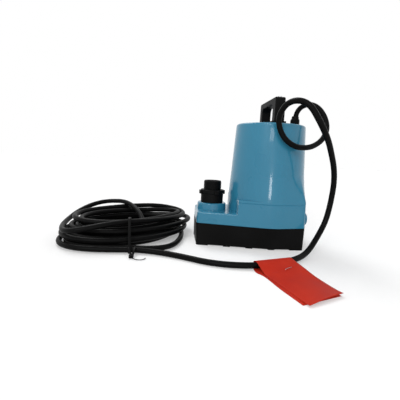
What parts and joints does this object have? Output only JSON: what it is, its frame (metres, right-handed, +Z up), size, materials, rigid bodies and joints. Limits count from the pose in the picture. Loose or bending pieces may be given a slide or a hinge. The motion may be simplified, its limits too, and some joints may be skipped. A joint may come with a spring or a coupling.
{
  "type": "submersible sump pump",
  "caption": "Blue cast submersible sump pump on a black base, with a black upward discharge fitting, a U handle and a tagged, coiled mains cord.",
  "frame": {"origin": "on the axis of the motor shaft, at the floor that the base stands on", "axes": "+Z up along the shaft, +X away from the discharge fitting, -Y towards the side that the picture shows"},
  "size_m": [0.4881, 0.4041, 0.2738],
  "materials": {
    "blue_paint": "gloss epoxy paint on cast metal",
    "black_plastic": "satin moulded, black",
    "cord_jacket": "satin black flexible jacket",
    "tie_plastic": "black nylon",
    "tag_plastic": "red vinyl, blank",
    "seal_rubber": "black nitrile",
    "screw_steel": "plain stainless",
    "plug_brass": "bright",
    "lamination_steel": "stacked sheets",
    "cast_aluminium": "as cast",
    "copper_wire": "enamelled copper",
    "bronze_bush": "sintered bronze",
    "seal_ceramic": "lapped",
    "grey_plastic": "glass filled, grey",
    "cutout_plastic": "moulded",
    "lead_wires": "insulated wires"
  },
  "bodies": {
    "pump": {"motor_cover": "blue_paint", "pump_casing": "blue_paint", "pump_base": "black_plastic", "inlet_screen": "black_plastic", "base_screws": "screw_steel", "cover_screws": "screw_steel", "cover_gasket": "seal_rubber", "oil_plug": "plug_brass", "discharge_fitting": "black_plastic", "discharge_seal": "seal_rubber", "handle": "black_plastic", "handle_screws": "screw_steel", "cord_gland": "black_plastic", "gland_seal": "seal_rubber", "stator_core": "lamination_steel", "stator_coils": "copper_wire", "shading_rings": "copper_wire", "lower_bracket": "cast_aluminium", "upper_bracket": "cast_aluminium", "lower_bearing": "bronze_bush", "upper_bearing": "bronze_bush", "thrust_washer": "screw_steel", "stator_spacers": "screw_steel", "stator_screws": "screw_steel", "seal_seat": "seal_ceramic", "thermal_cutout": "cutout_plastic", "motor_leads": "lead_wires", "cord_lead": "cord_jacket", "cord_coil": "cord_jacket", "coil_tie": "tie_plastic", "cord_tag": "tag_plastic", "power_plug": "cord_jacket", "plug_blades": "plug_brass"},
    "rotor": {"shaft": "screw_steel", "rotor_core": "lamination_steel", "rotor_cage": "cast_aluminium", "seal_head": "seal_rubber", "seal_spring": "screw_steel", "impeller": "grey_plastic", "impeller_nut": "screw_steel"}
  },
  "joints": [
    {"name": "rotor_spin", "type": "hinge", "parent": "pump", "child": "rotor", "pos_m": [0, 0, 0.1], "axis": [0, 0, 1], "continuous": true}
  ]
}
